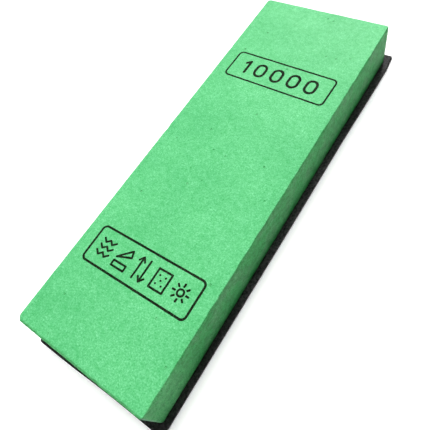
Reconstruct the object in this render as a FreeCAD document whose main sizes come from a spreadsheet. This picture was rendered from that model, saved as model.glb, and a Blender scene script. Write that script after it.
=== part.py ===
import FreeCAD, Part

import math
import os

import Sketcher
from FreeCAD import Rotation, Vector

# A bench whetstone: a cast abrasive block with two ink labels printed on its working face, lying loose
# on a thin rubber sheet. The ink has soaked into the face, so it lies flush in the block.
# Row frame: the origin is the centre of the sheet's underside, +X runs across the block, +Y along it
# towards the far end, and +Z up. Lengths are millimetres, angles degrees.

DIMENSIONS = {
    # the abrasive block
    "stone_length": 180,
    "stone_width": 60,
    "stone_height": 20,
    "corner_chamfer": 1,  # on the four upright corners
    "arris_bevel": 0.5,  # round the working face and the underside
    # the rubber sheet, which shows as a border all round the block
    "mat_side_border": 3.05,
    "mat_end_border": 4.2,
    "mat_thickness": 1.5,
    "mat_corner_radius": 0.8,
    "mat_edge_radius": 0.4,
    # the printed labels, which are stamped a little askew
    "ink_depth": 0.05,
    "label_corner_radius": 2.2,
    "far_label_y": 46.35,
    "far_label_width": 48.2,
    "far_label_depth": 15.1,
    "far_label_turn": -1.15,
    "far_frame_line": 0.7,
    "near_label_y": -52.5,
    "near_label_width": 48.7,
    "near_label_depth": 15.6,
    "near_label_turn": 0.55,
    "near_frame_line": 0.8,
    # grit numerals: a numeral is four cells wide and six tall between stroke centres
    "numeral_cell": 1.1,
    "numeral_line": 1.1,
    "numeral_pitch": 8.15,
    "first_zero_x": -9.2,
    "figure_one_x": -15.8,
    # care marks: a mark is five to six cells wide and up to eight tall between stroke centres
    "mark_cell": 1.08,
    "mark_line": 0.72,
    "mark_pitch": 8.8,
}

ZERO_COUNT = 4
RAY_COUNT = 8  # round the sun of the last care mark
MARK_COUNT = 5

doc = FreeCAD.newDocument("Whetstone")
UPRIGHT = Vector(0, 0, 1)
INK_FLOOR = "Params.mat_thickness + Params.stone_height - Params.ink_depth"
SIDE_DIRECTIONS = ("Horizontal", "Vertical", "Horizontal", "Vertical")


def write_sheet():
    sheet = doc.addObject("Spreadsheet::Sheet", "Params")
    for row, (alias, value) in enumerate(DIMENSIONS.items(), 1):
        sheet.set(f"A{row}", alias)
        sheet.set(f"B{row}", str(value))
        sheet.setAlias(f"B{row}", alias)
    doc.recompute()


# ---- bodies made from sketches ----


def new_body(label):
    body = doc.addObject("PartDesign::Body", label)
    body.Label = label
    return body


def base_sketch(body):
    """An empty sketch on the body's own XY plane."""
    plane = next(item for item in body.Origin.OriginFeatures if item.Role == "XY_Plane")
    sketch = body.newObject("Sketcher::SketchObject", f"{body.Label}_outline")
    sketch.AttachmentSupport = [(plane, "")]
    sketch.MapMode = "FlatFace"
    return sketch


def bind(sketch, constraint, name, expression):
    """Adds a dimension to a sketch and lets the sheet drive it."""
    index = sketch.addConstraint(constraint)
    sketch.renameConstraint(index, name)
    sketch.setExpression(f"Constraints.{name}", expression)


def draw_rectangle(sketch, width, depth):
    """A rectangle centred on the sketch's origin; width and depth are expressions."""
    half_x, half_y = (sketch.evalExpression(size) / 2 for size in (width, depth))
    corners = [(-half_x, -half_y), (half_x, -half_y), (half_x, half_y), (-half_x, half_y)]
    for start, end in zip(corners, corners[1:] + corners[:1]):
        sketch.addGeometry(Part.LineSegment(Vector(*start, 0), Vector(*end, 0)))
    for side in range(4):
        sketch.addConstraint(Sketcher.Constraint("Coincident", side, 2, (side + 1) % 4, 1))
        sketch.addConstraint(Sketcher.Constraint(SIDE_DIRECTIONS[side], side))
    sketch.addConstraint(Sketcher.Constraint("Symmetric", 0, 1, 2, 1, -1, 1))
    bind(sketch, Sketcher.Constraint("DistanceX", 0, 1, 0, 2, 2 * half_x), "width", width)
    bind(sketch, Sketcher.Constraint("DistanceY", 1, 1, 1, 2, 2 * half_y), "depth", depth)


def draw_rounded_rectangle(sketch, name, width, depth, radius):
    """A centred rectangle with rounded corners; width, depth and radius are expressions."""
    half_x, half_y = (sketch.evalExpression(size) / 2 for size in (width, depth))
    corner = sketch.evalExpression(radius)
    straight_x = half_x - corner
    straight_y = half_y - corner
    sides = [
        ((-straight_x, -half_y), (straight_x, -half_y)),
        ((half_x, -straight_y), (half_x, straight_y)),
        ((straight_x, half_y), (-straight_x, half_y)),
        ((-half_x, straight_y), (-half_x, -straight_y)),
    ]
    centres = [
        (straight_x, -straight_y),
        (straight_x, straight_y),
        (-straight_x, straight_y),
        (-straight_x, -straight_y),
    ]
    lines = []
    for start, end in sides:
        lines.append(sketch.addGeometry(Part.LineSegment(Vector(*start, 0), Vector(*end, 0))))
    arcs = []
    for index, centre in enumerate(centres):
        start = math.radians(-90 + 90 * index)
        circle = Part.Circle(Vector(*centre, 0), UPRIGHT, corner)
        arcs.append(sketch.addGeometry(Part.ArcOfCircle(circle, start, start + math.pi / 2)))
    for index in range(4):
        following = lines[(index + 1) % 4]
        sketch.addConstraint(Sketcher.Constraint("Tangent", lines[index], 2, arcs[index], 1))
        sketch.addConstraint(Sketcher.Constraint("Tangent", arcs[index], 2, following, 1))
        sketch.addConstraint(Sketcher.Constraint(SIDE_DIRECTIONS[index], lines[index]))
    for arc in arcs[1:]:
        sketch.addConstraint(Sketcher.Constraint("Equal", arcs[0], arc))
    sketch.addConstraint(Sketcher.Constraint("Symmetric", arcs[0], 3, arcs[2], 3, -1, 1))
    bind(sketch, Sketcher.Constraint("Radius", arcs[0], corner), f"{name}_radius", radius)
    span_x = Sketcher.Constraint("DistanceX", lines[3], 1, lines[1], 1, 2 * half_x)
    bind(sketch, span_x, f"{name}_width", width)
    span_y = Sketcher.Constraint("DistanceY", lines[0], 1, lines[2], 1, 2 * half_y)
    bind(sketch, span_y, f"{name}_depth", depth)


def pad(body, sketch, thickness):
    feature = body.newObject("PartDesign::Pad", f"{body.Label}_pad")
    feature.Profile = sketch
    feature.setExpression("Length", thickness)
    doc.recompute()
    return feature


def edges_where(feature, test):
    """The names of a feature's straight or curved edges that pass a test."""
    return [f"Edge{index}" for index, edge in enumerate(feature.Shape.Edges, 1) if test(edge)]


def is_level(edge):
    return abs(edge.firstVertex().Z - edge.lastVertex().Z) < 1e-6


def dress(body, kind, property_name, expression, base, edges):
    """Chamfers or fillets the named edges of the body's last feature."""
    feature = body.newObject(f"PartDesign::{kind}", f"{body.Label}_{kind.lower()}")
    feature.Base = (base, edges)
    feature.setExpression(property_name, expression)
    doc.recompute()
    return feature


def make_stone_blank():
    """The bevelled block before it is printed."""
    body = new_body("stone_blank")
    body.setExpression("Placement.Base.z", "Params.mat_thickness")
    sketch = base_sketch(body)
    draw_rectangle(sketch, "Params.stone_width", "Params.stone_length")
    block = pad(body, sketch, "Params.stone_height")
    upright = edges_where(block, lambda edge: not is_level(edge))
    corners = dress(body, "Chamfer", "Size", "Params.corner_chamfer", block, upright)
    rims = edges_where(corners, is_level)
    dress(body, "Chamfer", "Size", "Params.arris_bevel", corners, rims)
    return body


def make_non_slip_mat():
    body = new_body("non_slip_mat")
    sketch = base_sketch(body)
    draw_rounded_rectangle(
        sketch,
        "rim",
        "Params.stone_width + 2 * Params.mat_side_border",
        "Params.stone_length + 2 * Params.mat_end_border",
        "Params.mat_corner_radius",
    )
    sheet = pad(body, sketch, "Params.mat_thickness")
    rims = edges_where(sheet, is_level)
    dress(body, "Fillet", "Radius", "Params.mat_edge_radius", sheet, rims)
    return body


def stamp(ink, end):
    """Sets ink drawn round the origin into the working face at that end's label, with its turn."""
    ink.setExpression("Placement.Base.y", f"Params.{end}_label_y")
    ink.setExpression("Placement.Base.z", INK_FLOOR)
    ink.setExpression("Placement.Rotation.Angle", f"Params.{end}_label_turn")


def make_label_frame(end):
    """The inked outline of a label: the band between two rounded rectangles."""
    body = new_body(f"{end}_label_frame")
    stamp(body, end)
    sketch = base_sketch(body)
    outside = (f"Params.{end}_label_width", f"Params.{end}_label_depth", "Params.label_corner_radius")
    draw_rounded_rectangle(sketch, "outer", *outside)
    inside = [f"{size} - {inset} * Params.{end}_frame_line" for size, inset in zip(outside, (2, 2, 1))]
    draw_rounded_rectangle(sketch, "inner", *inside)
    pad(body, sketch, "Params.ink_depth")
    return body


# ---- ink strokes made from primitives ----


class Pen:
    """Draws round-ended ink strokes on a grid.

    cell and line name the sheet's grid cell and stroke width. Every stroke is given in cells from
    (left, up), which is an expression for the middle of the figure being drawn.
    """

    def __init__(self, cell, line):
        self.cell = f"Params.{cell}"
        self.line = f"Params.{line}"
        self.strokes = []
        self.move_to("0", "0")

    def move_to(self, left, up):
        self.left = left
        self.up = up

    def place(self, stroke, x, y, shift_x="0", shift_y="0"):
        stroke.setExpression("Placement.Base.x", f"{self.left} + {x} * {self.cell} + {shift_x}")
        stroke.setExpression("Placement.Base.y", f"{self.up} + {y} * {self.cell} + {shift_y}")

    def disc(self, x, y, radius, sweep=360, start=0):
        """An ink-thick disc or pie slice, which the caller keeps; radius is an expression."""
        disc = doc.addObject("Part::Cylinder", "Disc")
        disc.Angle = sweep
        disc.Placement = FreeCAD.Placement(Vector(), Rotation(UPRIGHT, start))
        disc.setExpression("Radius", radius)
        disc.setExpression("Height", "Params.ink_depth")
        self.place(disc, x, y)
        return disc

    def dot(self, x, y):
        self.strokes.append(self.disc(x, y, f"{self.line} / 2"))

    def bar(self, start, end):
        """A straight stroke between two points, with square ends."""
        run_x = end[0] - start[0]
        run_y = end[1] - start[1]
        length = math.hypot(run_x, run_y)
        bar = doc.addObject("Part::Box", "Bar")
        bar.Placement = FreeCAD.Placement(
            Vector(), Rotation(UPRIGHT, math.degrees(math.atan2(run_y, run_x)))
        )
        bar.setExpression("Length", f"{length:.6f} * {self.cell}")
        bar.setExpression("Width", self.line)
        bar.setExpression("Height", "Params.ink_depth")
        aside_x = f"{run_y / length / 2:.6f} * {self.line}"
        aside_y = f"{-run_x / length / 2:.6f} * {self.line}"
        self.place(bar, start[0], start[1], aside_x, aside_y)
        self.strokes.append(bar)

    def path(self, *points, closed=False):
        """A bent stroke through the points, rounded at its ends and corners."""
        for point in points:
            self.dot(*point)
        for start, end in zip(points, points[1:]):
            self.bar(start, end)
        if closed:
            self.bar(points[-1], points[0])

    def arc(self, x, y, radius, start=0, sweep=360):
        """A stroke along an arc, from the start angle anticlockwise."""
        outer = self.disc(x, y, f"{radius} * {self.cell} + {self.line} / 2", sweep, start)
        inner = self.disc(x, y, f"{radius} * {self.cell} - {self.line} / 2")
        arc = doc.addObject("Part::Cut", "Arc")
        arc.Base = outer
        arc.Tool = inner
        self.strokes.append(arc)

    def fuse(self, label, end):
        """Joins the strokes that touch, and stamps them all into the label at that end."""
        ink = doc.addObject("Part::MultiFuse", label)
        ink.Label = label
        ink.Shapes = self.strokes
        stamp(ink, end)
        return ink


def draw_figure_one(pen):
    pen.path((-1.5, 1.8), (0, 3), (0, -3))


def draw_zero(pen):
    pen.arc(0, 1, 2, start=0, sweep=180)
    pen.arc(0, -1, 2, start=180, sweep=180)
    for side in (-2, 2):
        pen.bar((side, -1), (side, 1))


def make_far_numerals():
    """The generic grit number, in the middle of its frame."""
    pen = Pen("numeral_cell", "numeral_line")
    pen.move_to("Params.figure_one_x", "0")
    draw_figure_one(pen)
    for index in range(ZERO_COUNT):
        pen.move_to(f"Params.first_zero_x + {index} * Params.numeral_pitch", "0")
        draw_zero(pen)
    return pen.fuse("far_label_numerals", "far")


def draw_waves(pen):
    for height in (2.4, 0, -2.4):
        zigzag = [(-2.7 + 1.35 * index, height + (0.6, -0.6)[index % 2]) for index in range(5)]
        pen.path(*zigzag)


def draw_blade_on_stone(pen):
    """A wedge held at a low angle to the top of a slab."""
    pen.path((-2.7, -3.8), (2.7, -3.8), (2.7, -1.9), (-2.7, -1.9), closed=True)
    pen.path((-2.6, -0.5), (2.7, 1.5), (1.9, 3.7), closed=True)


def draw_two_way_arrows(pen):
    for side, way in ((-1.5, 1), (1.5, -1)):
        pen.path((side, -3.9 * way), (side, 3.9 * way))
        pen.path((side - 1.2, 2.4 * way), (side, 3.9 * way), (side + 1.2, 2.4 * way))


def draw_grit_square(pen):
    pen.path((-2.7, -3.4), (2.7, -3.4), (2.7, 3.4), (-2.7, 3.4), closed=True)
    for x, y in ((-1.2, 1.5), (1.2, 1.5), (0, 0), (-1.2, -1.5), (1.2, -1.5)):
        pen.dot(x, y)


def draw_sun(pen):
    pen.arc(0, 0, 1.15)
    for index in range(RAY_COUNT):
        turn = math.tau * index / RAY_COUNT
        way_x, way_y = round(math.cos(turn), 6), round(math.sin(turn), 6)
        pen.path((2.25 * way_x, 2.25 * way_y), (3.05 * way_x, 3.05 * way_y))


def make_near_marks():
    """A row of plain care marks: wet, blade angle, stroke both ways, grit, dry."""
    pen = Pen("mark_cell", "mark_line")
    drawings = (draw_waves, draw_blade_on_stone, draw_two_way_arrows, draw_grit_square, draw_sun)
    for index, draw in enumerate(drawings):
        pen.move_to(f"{index - (MARK_COUNT - 1) / 2} * Params.mark_pitch", "0")
        draw(pen)
    return pen.fuse("near_label_marks", "near")


# ---- the whole object ----


def check(nodes):
    for item in doc.Objects:
        if "Invalid" in item.State or "Error" in item.State:
            raise RuntimeError(f"{item.Label} did not recompute: {item.State}")
    for node in nodes:
        if node.Shape.isNull() or not node.Shape.isValid():
            raise RuntimeError(f"{node.Label} has no valid shape")


def make_stone_block(blank, ink):
    """The block, less the skin of its working face that the ink has soaked."""
    soaked = doc.addObject("Part::Compound", "soaked_skin")
    soaked.Links = ink
    block = doc.addObject("Part::Cut", "stone_block")
    block.Label = "stone_block"
    block.Base = blank
    block.Tool = soaked
    return block


def main():
    write_sheet()
    ink = [
        make_label_frame("far"),
        make_far_numerals(),
        make_label_frame("near"),
        make_near_marks(),
    ]
    nodes = [make_non_slip_mat(), make_stone_block(make_stone_blank(), ink), *ink]
    doc.recompute()
    check(nodes)
    os.makedirs("parts", exist_ok=True)
    for node in nodes:
        node.Shape.exportStep(f"parts/{node.Label}.step")
        box = node.Shape.BoundBox
        size = f"{box.XLength:.2f} x {box.YLength:.2f} x {box.ZLength:.2f} mm"
        print(f"{node.Label}: {len(node.Shape.Solids)} solid(s), {node.Shape.Volume:.2f} mm3, {size}")


main()
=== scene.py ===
import math
import random

import bmesh
import bpy
from mathutils import Matrix, Vector, noise


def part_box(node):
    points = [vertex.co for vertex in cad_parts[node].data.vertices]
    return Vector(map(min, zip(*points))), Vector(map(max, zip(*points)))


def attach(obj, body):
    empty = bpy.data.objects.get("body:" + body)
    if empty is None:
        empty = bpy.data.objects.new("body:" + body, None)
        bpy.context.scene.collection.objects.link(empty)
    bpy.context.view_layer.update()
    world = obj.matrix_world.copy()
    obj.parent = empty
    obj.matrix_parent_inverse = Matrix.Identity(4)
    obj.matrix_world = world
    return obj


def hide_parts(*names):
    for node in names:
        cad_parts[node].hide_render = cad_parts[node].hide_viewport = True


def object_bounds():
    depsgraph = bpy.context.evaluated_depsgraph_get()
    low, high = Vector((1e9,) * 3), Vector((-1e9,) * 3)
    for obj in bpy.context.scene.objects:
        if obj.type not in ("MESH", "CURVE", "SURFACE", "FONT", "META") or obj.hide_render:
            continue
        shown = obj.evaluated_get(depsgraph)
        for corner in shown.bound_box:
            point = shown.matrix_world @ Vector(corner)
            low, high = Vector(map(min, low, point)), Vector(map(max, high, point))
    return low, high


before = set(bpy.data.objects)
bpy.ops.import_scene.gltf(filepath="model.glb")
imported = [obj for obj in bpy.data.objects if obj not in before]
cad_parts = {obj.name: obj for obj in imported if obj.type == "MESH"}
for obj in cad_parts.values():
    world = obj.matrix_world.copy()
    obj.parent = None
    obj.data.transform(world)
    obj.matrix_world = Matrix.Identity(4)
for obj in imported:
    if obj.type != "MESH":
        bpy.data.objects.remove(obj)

MM = 0.001
CAD_LOW, CAD_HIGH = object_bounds()
STONE_LOW, STONE_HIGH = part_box("stone_block")
MAT_LOW, MAT_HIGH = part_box("non_slip_mat")
dice = random.Random(20817)


# ---- shader helpers ----


def new_material(name):
    """A material with one Principled shader, its node tree and the shader."""
    material = bpy.data.materials.new(name)
    material.use_nodes = True
    tree = material.node_tree
    return material, tree, tree.nodes["Principled BSDF"]


def place_in_object(tree):
    """Coordinates fixed to the piece, in metres."""
    return tree.nodes.new("ShaderNodeTexCoord").outputs["Object"]


def normal_in_object(tree):
    """The way the surface faces, along the piece's own axes."""
    return tree.nodes.new("ShaderNodeTexCoord").outputs["Normal"]


def axis_value(tree, vector, axis):
    """The X, Y or Z of a vector."""
    parts = tree.nodes.new("ShaderNodeSeparateXYZ")
    tree.links.new(vector, parts.inputs["Vector"])
    return parts.outputs[axis]


def shifted(tree, place):
    """The same coordinates moved a long way off, for a pattern that doesn't follow the first."""
    node = tree.nodes.new("ShaderNodeVectorMath")
    node.operation = "ADD"
    node.inputs[1].default_value = (3, 5, 7)
    tree.links.new(place, node.inputs[0])
    return node.outputs["Vector"]


def noise_value(tree, place, grain, detail=2, roughness=0.5):
    """Noise from 0 to 1 whose blotches are about `grain` metres across."""
    node = tree.nodes.new("ShaderNodeTexNoise")
    node.inputs["Scale"].default_value = 1 / grain
    node.inputs["Detail"].default_value = detail
    node.inputs["Roughness"].default_value = roughness
    tree.links.new(place, node.inputs["Vector"])
    return node.outputs["Fac"]


def spots(tree, place, spacing, radius, share):
    """1 inside round spots of that radius in metres, 0 outside; `share` of the cells hold one."""
    cells = tree.nodes.new("ShaderNodeTexVoronoi")
    cells.inputs["Scale"].default_value = 1 / spacing
    tree.links.new(place, cells.inputs["Vector"])
    inside = ramp(tree, cells.outputs["Distance"], 0.7 * radius / spacing, radius / spacing, 1, 0)
    chosen = tree.nodes.new("ShaderNodeSeparateColor")
    tree.links.new(cells.outputs["Color"], chosen.inputs["Color"])
    lucky = ramp(tree, chosen.outputs["Red"], share, share + 0.02, 1, 0)
    return math_node(tree, "MULTIPLY", inside, lucky)


def ramp(tree, value, low, high, at_low, at_high):
    """Maps value from low..high to at_low..at_high, held level outside."""
    node = tree.nodes.new("ShaderNodeMapRange")
    node.inputs["From Min"].default_value = low
    node.inputs["From Max"].default_value = high
    node.inputs["To Min"].default_value = at_low
    node.inputs["To Max"].default_value = at_high
    tree.links.new(value, node.inputs["Value"])
    return node.outputs["Result"]


def math_node(tree, operation, first, second=0):
    """One sum on values, each a socket or a number; ABSOLUTE reads only the first."""
    node = tree.nodes.new("ShaderNodeMath")
    node.operation = operation
    for socket, value in zip(node.inputs, (first, second)):
        if isinstance(value, (int, float)):
            socket.default_value = value
        else:
            tree.links.new(value, socket)
    return node.outputs["Value"]


def mix_colour(tree, amount, first, second):
    """From the first colour to the second as amount goes from 0 to 1; each is a socket or (r, g, b)."""
    node = tree.nodes.new("ShaderNodeMix")
    node.data_type = "RGBA"
    tree.links.new(amount, node.inputs[0])
    colour_sockets = (node.inputs[6], node.inputs[7])
    for socket, colour in zip(colour_sockets, (first, second)):
        if isinstance(colour, tuple):
            socket.default_value = (*colour, 1)
        else:
            tree.links.new(colour, socket)
    return node.outputs[2]


def scale_colour(tree, colour, value):
    """Makes a colour brighter or darker by a value."""
    node = tree.nodes.new("ShaderNodeVectorMath")
    node.operation = "SCALE"
    tree.links.new(colour, node.inputs[0])
    tree.links.new(value, node.inputs["Scale"])
    return node.outputs["Vector"]


def add_bump(tree, shader, layers):
    """Chains bump layers of (height, depth in metres) into the shader's normal."""
    normal = None
    for height, depth in layers:
        node = tree.nodes.new("ShaderNodeBump")
        node.inputs["Distance"].default_value = depth
        tree.links.new(height, node.inputs["Height"])
        if normal is not None:
            tree.links.new(normal, node.inputs["Normal"])
        normal = node.outputs["Normal"]
    tree.links.new(normal, shader.inputs["Normal"])


# ---- the stone's and the ink's materials ----

STONE_GREEN = (0.092, 0.450, 0.171)
STONE_PALE = (0.118, 0.506, 0.203)
PINHOLE_SHADE_GREEN = (0.020, 0.190, 0.055)  # painted shade in the bottom of a pinhole
# the upright faces' casting skin, darkened as painted shade so that the sides read darker than the broad
# faces
SHADED_SKIN_GREEN = (0.038, 0.312, 0.080)
SHADED_SKIN_GREY = (0.085, 0.294, 0.118)
# painted shade at the foot of the upright faces
FOOT_SHADE_GREEN = (0.010, 0.130, 0.028)
RUBBED_AND_LIT_GREY = (0.140, 0.340, 0.195)  # painted highlight on the flats that cut the upright corners, patchy where they are rubbed bare
INK_DARK = (0.005, 0.006, 0.003)
INK_THIN = (0.012, 0.015, 0.008)

GRAIN_SWING = (2.5, 1, 2.0)  # how far red, green and blue swing from grain to grain
GRAIN_SIZE = 0.58 * MM
GRAIN_STRENGTH = 0.37
COARSE_GRAIN_SIZE = 1.7 * MM
COARSE_GRAIN_STRENGTH = 0.16
CLOUD_SIZE = 22 * MM  # the working face's pale clouds
SMEAR_SIZE = 9 * MM  # the grey smears on the skin
RUB_SIZE = 4 * MM  # the rubbed places on the upright corners, which carry the painted highlight
FOOT_SHADE_HEIGHT = 13 * MM  # how far up the painted shade at the skin's foot reaches
FOOT_LOW = 2.5 * MM  # how far up the darkest, ragged part of that painted shade is solid
FOOT_HIGH = 5 * MM  # and where that part fades out
RAGGED_SIZE = 2.2 * MM
RAGGED_REACH = 3 * MM  # how far that part's ragged edge strays up and down
SMOOTH_END = 60 * MM  # how far the rubbed, less grainy part reaches in from the far end
NEAR_END_LIGHT_REACH = 28 * MM  # how far the painted light that makes the skin paler and greyer reaches in from the near end
PINHOLE_SPACING = 6 * MM
PINHOLE_RADIUS = 0.24 * MM
PINHOLE_SHARE = 0.25  # of the places that the spacing gives
PINHOLE_STRENGTH = 0.3


def upward(tree):
    """1 on the faces that look up or down, 0 on the upright ones."""
    rise = math_node(tree, "ABSOLUTE", axis_value(tree, normal_in_object(tree), "Z"))
    return ramp(tree, rise, 0.91, 0.98, 0, 1)


def on_corner_flats(tree):
    """1 on the flats that cut the upright corners, 0 on the sides and the broad faces."""
    facing = normal_in_object(tree)
    product = math_node(tree, "MULTIPLY", axis_value(tree, facing, "X"), axis_value(tree, facing, "Y"))
    return ramp(tree, math_node(tree, "ABSOLUTE", product), 0.2, 0.4, 0, 1)


def grained(tree, colour, place, grain, strength):
    """The colour under close grain: pale grains are whiter and deep ones purer green."""
    fine = noise_value(tree, place, grain, detail=4, roughness=0.9)
    swing = tree.nodes.new("ShaderNodeVectorMath")
    swing.operation = "MULTIPLY_ADD"
    tree.links.new(ramp(tree, fine, 0.3, 0.7, -strength, strength), swing.inputs[0])
    swing.inputs[1].default_value = GRAIN_SWING
    swing.inputs[2].default_value = (1, 1, 1)
    result = tree.nodes.new("ShaderNodeVectorMath")
    result.operation = "MULTIPLY"
    tree.links.new(colour, result.inputs[0])
    tree.links.new(swing.outputs["Vector"], result.inputs[1])
    return result.outputs["Vector"]


def ground_colour(tree, place):
    """The broad faces: ground flat, so that the cast body's clouds show."""
    clouds = noise_value(tree, place, CLOUD_SIZE, detail=6, roughness=0.62)
    ground = mix_colour(tree, ramp(tree, clouds, 0.36, 0.64, 0, 1), STONE_GREEN, STONE_PALE)
    return grained(tree, ground, place, COARSE_GRAIN_SIZE, COARSE_GRAIN_STRENGTH)


def shaded_skin_colour(tree, place):
    """The upright faces: a duller casting skin, smeared grey, and painted shade that keeps them darker
    than the broad faces; more painted shade, darkest at their foot, and painted light that makes them
    paler at the near end.
    """
    elsewhere = shifted(tree, place)
    up = axis_value(tree, place, "Z")
    along = axis_value(tree, place, "Y")
    # painted light: paler, greyer skin and less painted shade at the foot towards the near end
    near_end_light = ramp(tree, along, STONE_LOW.y + NEAR_END_LIGHT_REACH / 2, STONE_LOW.y + NEAR_END_LIGHT_REACH, 1, 0)

    smears = noise_value(tree, elsewhere, SMEAR_SIZE, detail=5, roughness=0.6)
    smears = ramp(tree, smears, 0.42, 0.64, 0.15, 0.8)
    grey = math_node(tree, "MAXIMUM", smears, math_node(tree, "MULTIPLY", near_end_light, 0.6))
    shaded_skin = mix_colour(tree, grey, SHADED_SKIN_GREEN, SHADED_SKIN_GREY)

    # painted shade: the skin darker towards its foot
    height = ramp(tree, up, STONE_LOW.z, STONE_LOW.z + FOOT_SHADE_HEIGHT, 0, 1)
    unshaded = math_node(tree, "MAXIMUM", height, math_node(tree, "MULTIPLY", near_end_light, 0.8))
    foot_shade = ramp(tree, unshaded, 0, 1, 0.72, 1)
    shaded_skin = scale_colour(tree, shaded_skin, math_node(tree, "MULTIPLY", foot_shade, ramp(tree, near_end_light, 0, 1, 1, 1.2)))
    mottle = noise_value(tree, place, COARSE_GRAIN_SIZE)
    shaded_skin = scale_colour(tree, shaded_skin, ramp(tree, mottle, 0.3, 0.7, 0.78, 1.22))

    # painted shade, darkest and with a ragged top, at the very foot
    ragged = noise_value(tree, place, RAGGED_SIZE, detail=3, roughness=0.7)
    level = math_node(tree, "ADD", up, ramp(tree, ragged, 0.3, 0.7, -RAGGED_REACH, RAGGED_REACH))
    foot_shade_core = ramp(tree, level, STONE_LOW.z + FOOT_LOW, STONE_LOW.z + FOOT_HIGH, 0.45, 0)
    foot_shade_core = math_node(tree, "MULTIPLY", foot_shade_core, ramp(tree, near_end_light, 0, 1, 1, 0.2))
    shaded_skin = mix_colour(tree, foot_shade_core, shaded_skin, FOOT_SHADE_GREEN)

    # painted highlight on the corner flats, patchy where they are rubbed
    rubbed_and_lit = ramp(tree, noise_value(tree, elsewhere, RUB_SIZE, detail=3), 0.3, 0.6, 0.3, 1)
    return mix_colour(tree, math_node(tree, "MULTIPLY", on_corner_flats(tree), rubbed_and_lit), shaded_skin, RUBBED_AND_LIT_GREY)


def stone_colour(tree, place):
    """The cast abrasive's green, with its close grain, painted shade on the upright faces and painted
    shade in pinhole spots.
    """
    # the upright faces, and the steep walls of the pits, take the skin colour with its painted shade
    colour = mix_colour(tree, upward(tree), shaded_skin_colour(tree, place), ground_colour(tree, place))
    grainy = grained(tree, colour, shifted(tree, place), GRAIN_SIZE, GRAIN_STRENGTH)
    along = axis_value(tree, place, "Y")
    rubbed_smooth = ramp(tree, along, STONE_HIGH.y - SMOOTH_END, STONE_HIGH.y, 0, 0.45)
    colour = mix_colour(tree, rubbed_smooth, grainy, colour)
    # painted shade: dark spots for the shade inside pinholes
    pinhole_shade = spots(tree, place, PINHOLE_SPACING, PINHOLE_RADIUS, PINHOLE_SHARE)
    return mix_colour(tree, math_node(tree, "MULTIPLY", pinhole_shade, PINHOLE_STRENGTH), colour, PINHOLE_SHADE_GREEN)


def make_stone_material():
    material, tree, shader = new_material("green_abrasive")
    place = place_in_object(tree)
    tree.links.new(stone_colour(tree, place), shader.inputs["Base Color"])
    tree.links.new(ramp(tree, upward(tree), 0, 1, 0.05, 0.35), shader.inputs["Specular IOR Level"])
    grain = noise_value(tree, place, 0.45 * MM, detail=4, roughness=0.7)
    tree.links.new(ramp(tree, grain, 0.3, 0.7, 0.45, 0.6), shader.inputs["Roughness"])
    wear = noise_value(tree, place, 3 * MM)
    add_bump(tree, shader, [(wear, 0.01 * MM), (grain, 0.03 * MM)])
    return material


def make_ink_material():
    """Stamped ink: uneven, and thin enough in the stone's pores for the green to show."""
    material, tree, shader = new_material("label_ink")
    shader.inputs["Roughness"].default_value = 0.7
    shader.inputs["Specular IOR Level"].default_value = 0.15
    place = place_in_object(tree)
    thin = noise_value(tree, place, 5 * MM)
    ink = mix_colour(tree, ramp(tree, thin, 0.35, 0.7, 0, 1), INK_DARK, INK_THIN)
    pores = noise_value(tree, place, 0.22 * MM, roughness=0.6)
    bare = ramp(tree, pores, 0.62, 0.70, 0, 0.5)
    tree.links.new(mix_colour(tree, bare, ink, stone_colour(tree, place)), shader.inputs["Base Color"])
    add_bump(tree, shader, [(pores, 0.02 * MM)])
    return material


# ---- the mat's material ----

RUBBER_BLACK = (0.019, 0.018, 0.019)
RUBBER_GREY = (0.046, 0.044, 0.046)
DUSTIEST_Y = 14 * MM  # the place along the mat where most dust lies
DUST_CORE = 10 * MM  # how far from there the dust stays at its thickest
DUST_REACH = 85 * MM  # and how far off it has gone
DULL_FROM = 16 * MM  # how far in from the far end the rubber starts to lose its gloss
DULL_TO = 4 * MM  # and how far in from that end it is dullest


def make_rubber_material():
    material, tree, shader = new_material("black_rubber")
    place = place_in_object(tree)
    along = axis_value(tree, place, "Y")
    from_dustiest = math_node(tree, "ABSOLUTE", math_node(tree, "SUBTRACT", along, DUSTIEST_Y))
    dusty = ramp(tree, from_dustiest, DUST_CORE, DUST_REACH, 0.5, -0.3)
    bloom = ramp(tree, noise_value(tree, place, 14 * MM, detail=3), 0.35, 0.7, 0, 0.6)
    colour = mix_colour(tree, math_node(tree, "ADD", bloom, dusty), RUBBER_BLACK, RUBBER_GREY)
    fleck = noise_value(tree, shifted(tree, place), 1.1 * MM, detail=3, roughness=0.8)
    colour = scale_colour(tree, colour, ramp(tree, fleck, 0.38, 0.62, 0, 2))
    tree.links.new(colour, shader.inputs["Base Color"])
    dull_end = ramp(tree, along, MAT_HIGH.y - DULL_FROM, MAT_HIGH.y - DULL_TO, 1, 0.3)
    gloss = math_node(tree, "MULTIPLY", ramp(tree, upward(tree), 0, 1, 0.1, 0.4), dull_end)
    tree.links.new(gloss, shader.inputs["Specular IOR Level"])
    pebble = noise_value(tree, place, 0.35 * MM, detail=3, roughness=0.6)
    tree.links.new(ramp(tree, pebble, 0.3, 0.7, 0.35, 0.6), shader.inputs["Roughness"])
    add_bump(tree, shader, [(pebble, 0.04 * MM)])
    return material


# ---- boxes with worn edges ----


def spaced(low, high, cell, edge_steps):
    """Positions from low to high: close ones at both ends, and even ones at most `cell` apart between."""
    inner_low = low + edge_steps[-1]
    inner_high = high - edge_steps[-1]
    count = math.ceil((inner_high - inner_low) / cell)
    middle = [inner_low + (inner_high - inner_low) * step / count for step in range(1, count)]
    return [low + step for step in edge_steps] + middle + [high - step for step in reversed(edge_steps)]


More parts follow.
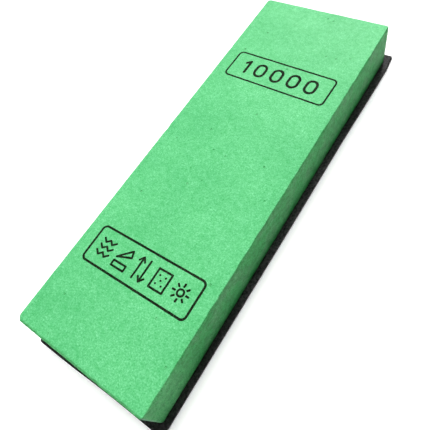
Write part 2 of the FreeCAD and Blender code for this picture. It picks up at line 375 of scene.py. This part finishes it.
def lattice_box(low, high, cell, edge_steps):
    """A closed box of quads on a lattice that is finer near its edges."""
    stations = [spaced(low[axis], high[axis], cell, edge_steps) for axis in range(3)]
    last = [len(row) - 1 for row in stations]
    mesh = bmesh.new()
    corners = {}

    def corner(index):
        if index not in corners:
            corners[index] = mesh.verts.new([stations[axis][index[axis]] for axis in range(3)])
        return corners[index]

    for axis in range(3):
        across = (axis + 1) % 3
        along = (axis + 2) % 3
        for level in (0, last[axis]):
            for i in range(last[across]):
                for j in range(last[along]):
                    loop = []
                    for step_i, step_j in ((0, 0), (1, 0), (1, 1), (0, 1)):
                        index = [0, 0, 0]
                        index[axis] = level
                        index[across] = i + step_i
                        index[along] = j + step_j
                        loop.append(corner(tuple(index)))
                    mesh.faces.new(loop if level else reversed(loop))
    mesh.normal_update()
    return mesh


def new_piece(name, mesh, material, body, crease=None):
    """Turns a bmesh into a piece that rides on a body; edges over `crease` degrees are shaded sharp."""
    for face in mesh.faces:
        face.smooth = crease is not None
    data = bpy.data.meshes.new(name)
    mesh.to_mesh(data)
    mesh.free()
    if crease is not None:
        data.set_sharp_from_angle(angle=math.radians(crease))
    data.materials.append(material)
    piece = bpy.data.objects.new(name, data)
    bpy.context.scene.collection.objects.link(piece)
    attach(piece, body)
    return piece


# ---- worn corners and rims ----

STRAIGHT = math.radians(165)  # a quad's corner wider than this counts as straight

FLAT = 1  # a corner cut straight
ROUND = 2  # a corner turned on a radius


def ring_scale(past_a, past_b, power):
    """How far the square rings round a corner are drawn in to make flat or round ones."""
    return max(past_a, past_b) / (past_a**power + past_b**power) ** (1 / power)


def cut_corner(point, half, reach, power):
    """Draws a point near an upright corner onto that corner's flat or round.

    Returns how deep the point lies inside the sides, and the way inward from the nearest side.
    """
    past_x = reach - (half.x - abs(point.x))
    past_y = reach - (half.y - abs(point.y))
    side_gap = reach - max(past_x, past_y)
    if past_x > 0 and past_y > 0:
        scale = ring_scale(past_x, past_y, power)
        point.x -= math.copysign(past_x * (1 - scale), point.x)
        point.y -= math.copysign(past_y * (1 - scale), point.y)
        away = Vector((1, 1, 0)) if power == FLAT else Vector((past_x, past_y, 0))
    elif past_x > past_y:
        away = Vector((1, 0, 0))
    else:
        away = Vector((0, 1, 0))
    inward = Vector((-math.copysign(away.x, point.x), -math.copysign(away.y, point.y), 0)).normalized()
    return side_gap, inward


def wear_rim(point, half, side_gap, inward, across, down, power):
    """Draws a point near a rim of a broad face onto the rim's flat or round."""
    past_side = 1 - side_gap / across
    past_face = 1 - (half.z - abs(point.z)) / down
    if past_side > 0 and past_face > 0:
        slack = 1 - ring_scale(past_side, past_face, power)
        point += inward * across * past_side * slack
        point.z -= math.copysign(down * past_face * slack, point.z)


def split_bent_quads(mesh):
    """Splits the quads that have a straight corner, so that none of their triangles is a sliver."""
    bent = [face for face in mesh.faces if any(corner.calc_angle() > STRAIGHT for corner in face.loops)]
    bmesh.ops.triangulate(mesh, faces=bent, quad_method="BEAUTY")


# ---- the block ----

STONE_CELL = 0.75 * MM
STONE_EDGE_STEPS = [step * MM for step in (0, 0.2, 0.4, 0.65, 1.0, 1.5)]
# how wide each upright corner is cut, by the side it is on in x and in y
CORNER_CHAMFERS = {(-1, -1): 1.6 * MM, (1, -1): 0.8 * MM, (1, 1): 0.7 * MM, (-1, 1): 1.1 * MM}
# each rim of the working face, and the rim of the foot: how far its wear reaches across the face,
# how far it reaches along the side, and its form
SIDE_RIMS = {-1: Vector((0.45 * MM, 0.5 * MM, ROUND)), 1: Vector((0.3 * MM, 1.8 * MM, ROUND))}
END_RIMS = {-1: Vector((0.8 * MM, 0.42 * MM, FLAT)), 1: Vector((0.5 * MM, 0.5 * MM, ROUND))}
FOOT_RIM = Vector((0.4 * MM, 0.4 * MM, ROUND))
WEAR_WAVES = ((0.3, 5 * MM), (0.15, 1.3 * MM))  # how much the wear swings, and over what distance
CHIP_SIZE = 2.6 * MM
CHIP_APART = Vector((40, 0, 0))  # between the noise of the wear and the noise of the chips
CHIP_RARITY = 0.45  # noise above this is a chip
CHIP_GROWTH = 2.0  # how fast the wear grows above it
FACE_INSET = 0.015 * MM  # how far the visible face lies inside the CAD face, so that the ink stands out
FACE_WAVES = ((0.02 * MM, 25 * MM), (0.012 * MM, 1.6 * MM))  # its unevenness: how deep, and how wide
PIT_COUNT = 120
PIT_MARGIN = 2.0 * MM  # how far the pits keep from the arrises
PIT_RIM = 0.25  # of a cell, how far a pit's floor is set in from the cell's edge
PIT_SPREAD = (0.4, 0.85)  # what the floor then shrinks to, as a share of its size
PIT_DEPTH = (0.07, 0.18)  # millimetres


def rim_shape(point, inward):
    """How far the wear reaches across and down at a point of a rim, and its form there."""
    if point.z < 0:
        across, down, power = FOOT_RIM
    else:
        side = SIDE_RIMS[1 if point.x > 0 else -1]
        end = END_RIMS[1 if point.y > 0 else -1]
        across, down, power = side * inward.x**2 + end * inward.y**2
    wear = 1 + sum(swing * noise.noise(point / width) for swing, width in WEAR_WAVES)
    chip = CHIP_GROWTH * max(0.0, noise.noise(point / CHIP_SIZE + CHIP_APART) - CHIP_RARITY)
    return across * (wear + chip), down * (wear + chip), power


def wear_block(mesh, low, high):
    """Cuts the corners, wears the rims and leaves the faces slightly uneven."""
    centre = (low + high) / 2
    half = (high - low) / 2
    for vertex in mesh.verts:
        point = vertex.co - centre
        corner = (1 if point.x > 0 else -1, 1 if point.y > 0 else -1)
        side_gap, inward = cut_corner(point, half, CORNER_CHAMFERS[corner], FLAT)
        wear_rim(point, half, side_gap, inward, *rim_shape(point, inward))
        depth = FACE_INSET
        for swing, width in FACE_WAVES:
            depth += swing * (0.5 + 0.5 * noise.noise(vertex.co / width))
        vertex.co = centre + point - vertex.normal * depth


def press_pits(mesh, low, high, count):
    """Opens small pinholes in random cells, away from the arrises."""
    open_faces = []
    for face in mesh.faces:
        spot = face.calc_center_median()
        gaps = sorted(min(spot[axis] - low[axis], high[axis] - spot[axis]) for axis in range(3))
        if gaps[1] > PIT_MARGIN:
            open_faces.append(face)
    floors = dice.sample(open_faces, count)
    bmesh.ops.inset_individual(mesh, faces=floors, thickness=PIT_RIM * STONE_CELL, depth=0)
    for floor in floors:
        centre = floor.calc_center_median()
        spread = dice.uniform(*PIT_SPREAD)
        inward = floor.normal * dice.uniform(*PIT_DEPTH) * MM
        for vertex in floor.verts:
            vertex.co = centre + (vertex.co - centre) * spread * dice.uniform(0.8, 1.2) - inward


def make_stone(material):
    mesh = lattice_box(STONE_LOW, STONE_HIGH, STONE_CELL, STONE_EDGE_STEPS)
    wear_block(mesh, STONE_LOW, STONE_HIGH)
    mesh.normal_update()
    press_pits(mesh, STONE_LOW, STONE_HIGH, PIT_COUNT)
    split_bent_quads(mesh)
    stone = new_piece("cast_stone", mesh, material, "stone", crease=28)
    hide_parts("stone_block")


# ---- printed labels ----

INK_STEP = 0.3 * MM  # the longest step between the points of an outline
INK_SPREAD = 0.045 * MM  # how far the ink has crept past its printed outline
INK_WANDER = 0.05 * MM  # how far the outline strays in its shorter waves
SHORT_WAVE = 0.5 * MM
LONG_WAVE = 1.7 * MM
LONG_WAVE_SHARE = 0.7  # of how far the shorter waves stray
WANDER_APART = Vector((31, 47, 59))  # between the noise that pushes in x and the noise that pushes in y
MERGE_DISTANCE = 0.001 * MM


def looks_up(face):
    return face.normal.z > 0.9


def outline_loops(node):
    """The closed outlines of a CAD node's upper face, as lists of points with the ink on their left."""
    mesh = bmesh.new()
    mesh.from_mesh(node.data)
    bmesh.ops.remove_doubles(mesh, verts=mesh.verts, dist=MERGE_DISTANCE)
    mesh.normal_update()
    following = {}
    for face in filter(looks_up, mesh.faces):
        for corner in face.loops:
            if sum(map(looks_up, corner.edge.link_faces)) == 1:
                following[corner.vert] = corner.link_loop_next.vert
    outlines = []
    while following:
        first, here = following.popitem()
        outline = [first.co.copy()]
        while here is not first:
            outline.append(here.co.copy())
            here = following.pop(here)
        outlines.append(outline)
    mesh.free()
    return outlines


def wander(point):
    """A push in x and y that changes smoothly from place to place, and is the same on every run."""
    return Vector((noise.noise(point), noise.noise(point + WANDER_APART), 0))


def stamped(outline):
    """The same outline in short steps, spread a little and with the small wander of a stamped edge."""
    points = []
    for start, end in zip(outline, outline[1:] + outline[:1]):
        steps = max(1, math.ceil((end - start).length / INK_STEP))
        along = (end - start).normalized()
        spread = Vector((along.y, -along.x, 0)) * INK_SPREAD
        for step in range(steps):
            point = start.lerp(end, step / steps)
            push = wander(point / SHORT_WAVE) + LONG_WAVE_SHARE * wander(point / LONG_WAVE)
            points.append(point + spread + push * INK_WANDER)
    return points


def make_ink(node_name, piece_name, material):
    """An ink layer as thick as its CAD node, with a ragged outline."""
    low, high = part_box(node_name)
    curve = bpy.data.curves.new(piece_name, "CURVE")
    curve.dimensions = "2D"
    curve.fill_mode = "BOTH"
    curve.extrude = (high.z - low.z) / 2
    for outline in outline_loops(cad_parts[node_name]):
        points = stamped(outline)
        spline = curve.splines.new("POLY")
        spline.points.add(len(points) - 1)
        for target, point in zip(spline.points, points):
            target.co = (point.x, point.y, 0, 1)
        spline.use_cyclic_u = True
    drawn = bpy.data.objects.new(piece_name, curve)
    bpy.context.scene.collection.objects.link(drawn)
    bpy.context.view_layer.update()
    data = bpy.data.meshes.new_from_object(drawn.evaluated_get(bpy.context.evaluated_depsgraph_get()))
    bpy.data.objects.remove(drawn)
    mesh = bmesh.new()
    mesh.from_mesh(data)
    bmesh.ops.translate(mesh, verts=mesh.verts, vec=(0, 0, (low.z + high.z) / 2))
    bmesh.ops.remove_doubles(mesh, verts=mesh.verts, dist=MERGE_DISTANCE)
    piece = new_piece(piece_name, mesh, material, "stone")
    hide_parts(node_name)


# ---- the mat ----

MAT_CELL = 0.7 * MM
MAT_EDGE_STEPS = [step * MM for step in (0, 0.08, 0.2, 0.4, 0.6, 0.8)]
MAT_PEBBLE = 0.09 * MM  # how deep its pebbled faces dip
MAT_RIM = 0.9 * MM  # the plain edge outside the pebbled part
MAT_CORNER_RADIUS = 0.8 * MM
MAT_EDGE_RADIUS = 0.4 * MM
MAT_CUT_CORNER = 3.0 * MM  # the near right corner, which is snipped off
MAT_LEFT_TAPER = 3.0 * MM  # how far the left edge runs in, from far to near
# each step in the wavy edges: how far the edge moves out, and the places between which it does so
MAT_RIGHT_STEPS = (
    (0.35 * MM, -80 * MM, 10 * MM),
    (0.42 * MM, 40 * MM, 74 * MM),
    (0.8 * MM, 96 * MM, 84 * MM),
)
MAT_NEAR_STEPS = ((0.75 * MM, 15 * MM, -25 * MM),)


def smooth_step(value, start, end):
    """0 at start and 1 at end, level outside and smooth between."""
    share = min(1, max(0, (value - start) / (end - start)))
    return share * share * (3 - 2 * share)


def drawn_in(place, steps):
    """How far an edge lies inside the mat's box at a place along it."""
    return sum(reach * (1 - smooth_step(place, start, end)) for reach, start, end in steps)


def shape_mat(point, half):
    """Draws a point near the mat's edges onto its corners, rims and hand-cut edges."""
    place = point.copy()
    if point.x > 0 and point.y < 0:
        side_gap, inward = cut_corner(point, half, MAT_CUT_CORNER, FLAT)
    else:
        side_gap, inward = cut_corner(point, half, MAT_CORNER_RADIUS, ROUND)
    wear_rim(point, half, side_gap, inward, MAT_EDGE_RADIUS, MAT_EDGE_RADIUS, ROUND)
    if point.y < 0:
        point.y *= 1 - drawn_in(place.x, MAT_NEAR_STEPS) / half.y
    if point.x > 0:
        point.x *= 1 - drawn_in(place.y, MAT_RIGHT_STEPS) / half.x
    else:
        nearness = 0.5 - place.y / (2 * half.y)
        point.x *= 1 - MAT_LEFT_TAPER / half.x * nearness**3


def make_mat(material):
    mesh = lattice_box(MAT_LOW, MAT_HIGH, MAT_CELL, MAT_EDGE_STEPS)
    centre = (MAT_LOW + MAT_HIGH) / 2
    half = (MAT_HIGH - MAT_LOW) / 2
    for vertex in mesh.verts:
        point = vertex.co - centre
        if abs(point.x) < half.x - MAT_RIM and abs(point.y) < half.y - MAT_RIM:
            point.z -= math.copysign(MAT_PEBBLE * dice.random(), point.z)
        shape_mat(point, half)
        vertex.co = centre + point
    split_bent_quads(mesh)
    mat = new_piece("rubber_mat", mesh, material, "mat", crease=50)
    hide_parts("non_slip_mat")


# ---- camera, light and floor ----

SENSOR_WIDTH = 36  # millimetres, as the lens is
CAMERA_LENS = 36.10
CAMERA_PLACE = Vector((77.31, -66.93, 157.70)) * MM
CAMERA_AIM = Vector((8.23, -14.58, 21.5)) * MM
CAMERA_ROLL = math.radians(-22.76)
CAMERA_SHIFT = (-0.0070, -0.0466)


def make_camera():
    data = bpy.data.cameras.new("camera")
    data.sensor_width = SENSOR_WIDTH
    data.lens = CAMERA_LENS
    data.shift_x, data.shift_y = CAMERA_SHIFT
    data.clip_start = 5 * MM
    data.clip_end = 50
    camera = bpy.data.objects.new("camera", data)
    look = (CAMERA_AIM - CAMERA_PLACE).to_track_quat("-Z", "Y")
    roll = Matrix.Rotation(CAMERA_ROLL, 4, "Z")
    camera.matrix_world = Matrix.Translation(CAMERA_PLACE) @ look.to_matrix().to_4x4() @ roll
    bpy.context.scene.collection.objects.link(camera)
    bpy.context.scene.camera = camera


def add_area_light(name, place, size, power, glossy):
    """A round light in metres and watts that faces the object; only a glossy one shows in reflections."""
    data = bpy.data.lights.new(name, "AREA")
    data.shape = "DISK"
    data.size = size
    data.energy = power
    light = bpy.data.objects.new(name, data)
    light.location = place
    light.rotation_euler = (-Vector(place)).to_track_quat("-Z", "Y").to_euler()
    light.visible_glossy = glossy
    bpy.context.scene.collection.objects.link(light)


WORLD_STRENGTH = 0.045
KEY_PLACE = (-0.16, 0.12, 1.20)
KEY_SIZE = 0.7
KEY_POWER = 19.4
FAR_PLACE = (-0.35, 1.05, 0.78)
FAR_SIZE = 0.45
FAR_POWER = 7.6
STAGE_REACH = 5  # metres from the object to the backdrop
FLOOR_GREY = (0.90, 0.90, 0.90, 1)
FLOOR_GLOW_NEAR = 0.35  # metres from the object to where the floor's glow starts to grow
FLOOR_GLOW_FAR = 1.2  # and to where it is full
WHITE = (1, 1, 1, 1)
BLACK = (0, 0, 0, 1)


def add_stage_piece(name, mesh, material):
    data = bpy.data.meshes.new(name)
    mesh.to_mesh(data)
    mesh.free()
    data.materials.append(material)
    piece = bpy.data.objects.new(name, data)
    bpy.context.scene.collection.objects.link(piece)
    return piece


def make_lights():
    scene = bpy.context.scene
    scene.view_settings.view_transform = "Standard"
    world = bpy.data.worlds.new("studio")
    world.use_nodes = True
    surround = world.node_tree.nodes["Background"]
    surround.inputs["Color"].default_value = WHITE
    surround.inputs["Strength"].default_value = WORLD_STRENGTH
    scene.world = world
    add_area_light("key_light", KEY_PLACE, KEY_SIZE, KEY_POWER, glossy=False)
    add_area_light("far_light", FAR_PLACE, FAR_SIZE, FAR_POWER, glossy=True)


def make_floor():
    """A pale floor that glows a little, as a lit table does, and more so further off."""
    mesh = bmesh.new()
    bmesh.ops.create_grid(mesh, x_segments=1, y_segments=1, size=STAGE_REACH)
    material, tree, shader = new_material("pale_floor")
    shader.inputs["Roughness"].default_value = 0.9
    shader.inputs["Base Color"].default_value = FLOOR_GREY
    shader.inputs["Specular IOR Level"].default_value = 0
    shader.inputs["Emission Color"].default_value = WHITE
    distance = tree.nodes.new("ShaderNodeVectorMath")
    distance.operation = "LENGTH"
    tree.links.new(place_in_object(tree), distance.inputs[0])
    glow = ramp(tree, distance.outputs["Value"], FLOOR_GLOW_NEAR, FLOOR_GLOW_FAR, 0.2, 1)
    tree.links.new(glow, shader.inputs["Emission Strength"])
    floor = add_stage_piece("floor", mesh, material)
    floor.location.z = CAD_LOW.z


def make_backdrop():
    """A white wall round the floor that is seen but lights nothing."""
    mesh = bmesh.new()
    bmesh.ops.create_cone(
        mesh, cap_ends=False, segments=64, radius1=STAGE_REACH, radius2=STAGE_REACH, depth=2 * STAGE_REACH
    )
    material, _, shader = new_material("white_backdrop")
    shader.inputs["Roughness"].default_value = 1
    shader.inputs["Base Color"].default_value = BLACK
    shader.inputs["Emission Color"].default_value = WHITE
    shader.inputs["Emission Strength"].default_value = 1
    backdrop = add_stage_piece("backdrop", mesh, material)
    backdrop.visible_diffuse = False
    backdrop.visible_glossy = False
    backdrop.visible_shadow = False


# ---- the whole scene ----

make_camera()
make_lights()
make_floor()
make_backdrop()
make_stone(make_stone_material())
make_mat(make_rubber_material())
ink_material = make_ink_material()
for label in ("far_label_frame", "far_label_numerals", "near_label_frame", "near_label_marks"):
    make_ink(label, f"ink_{label}", ink_material)
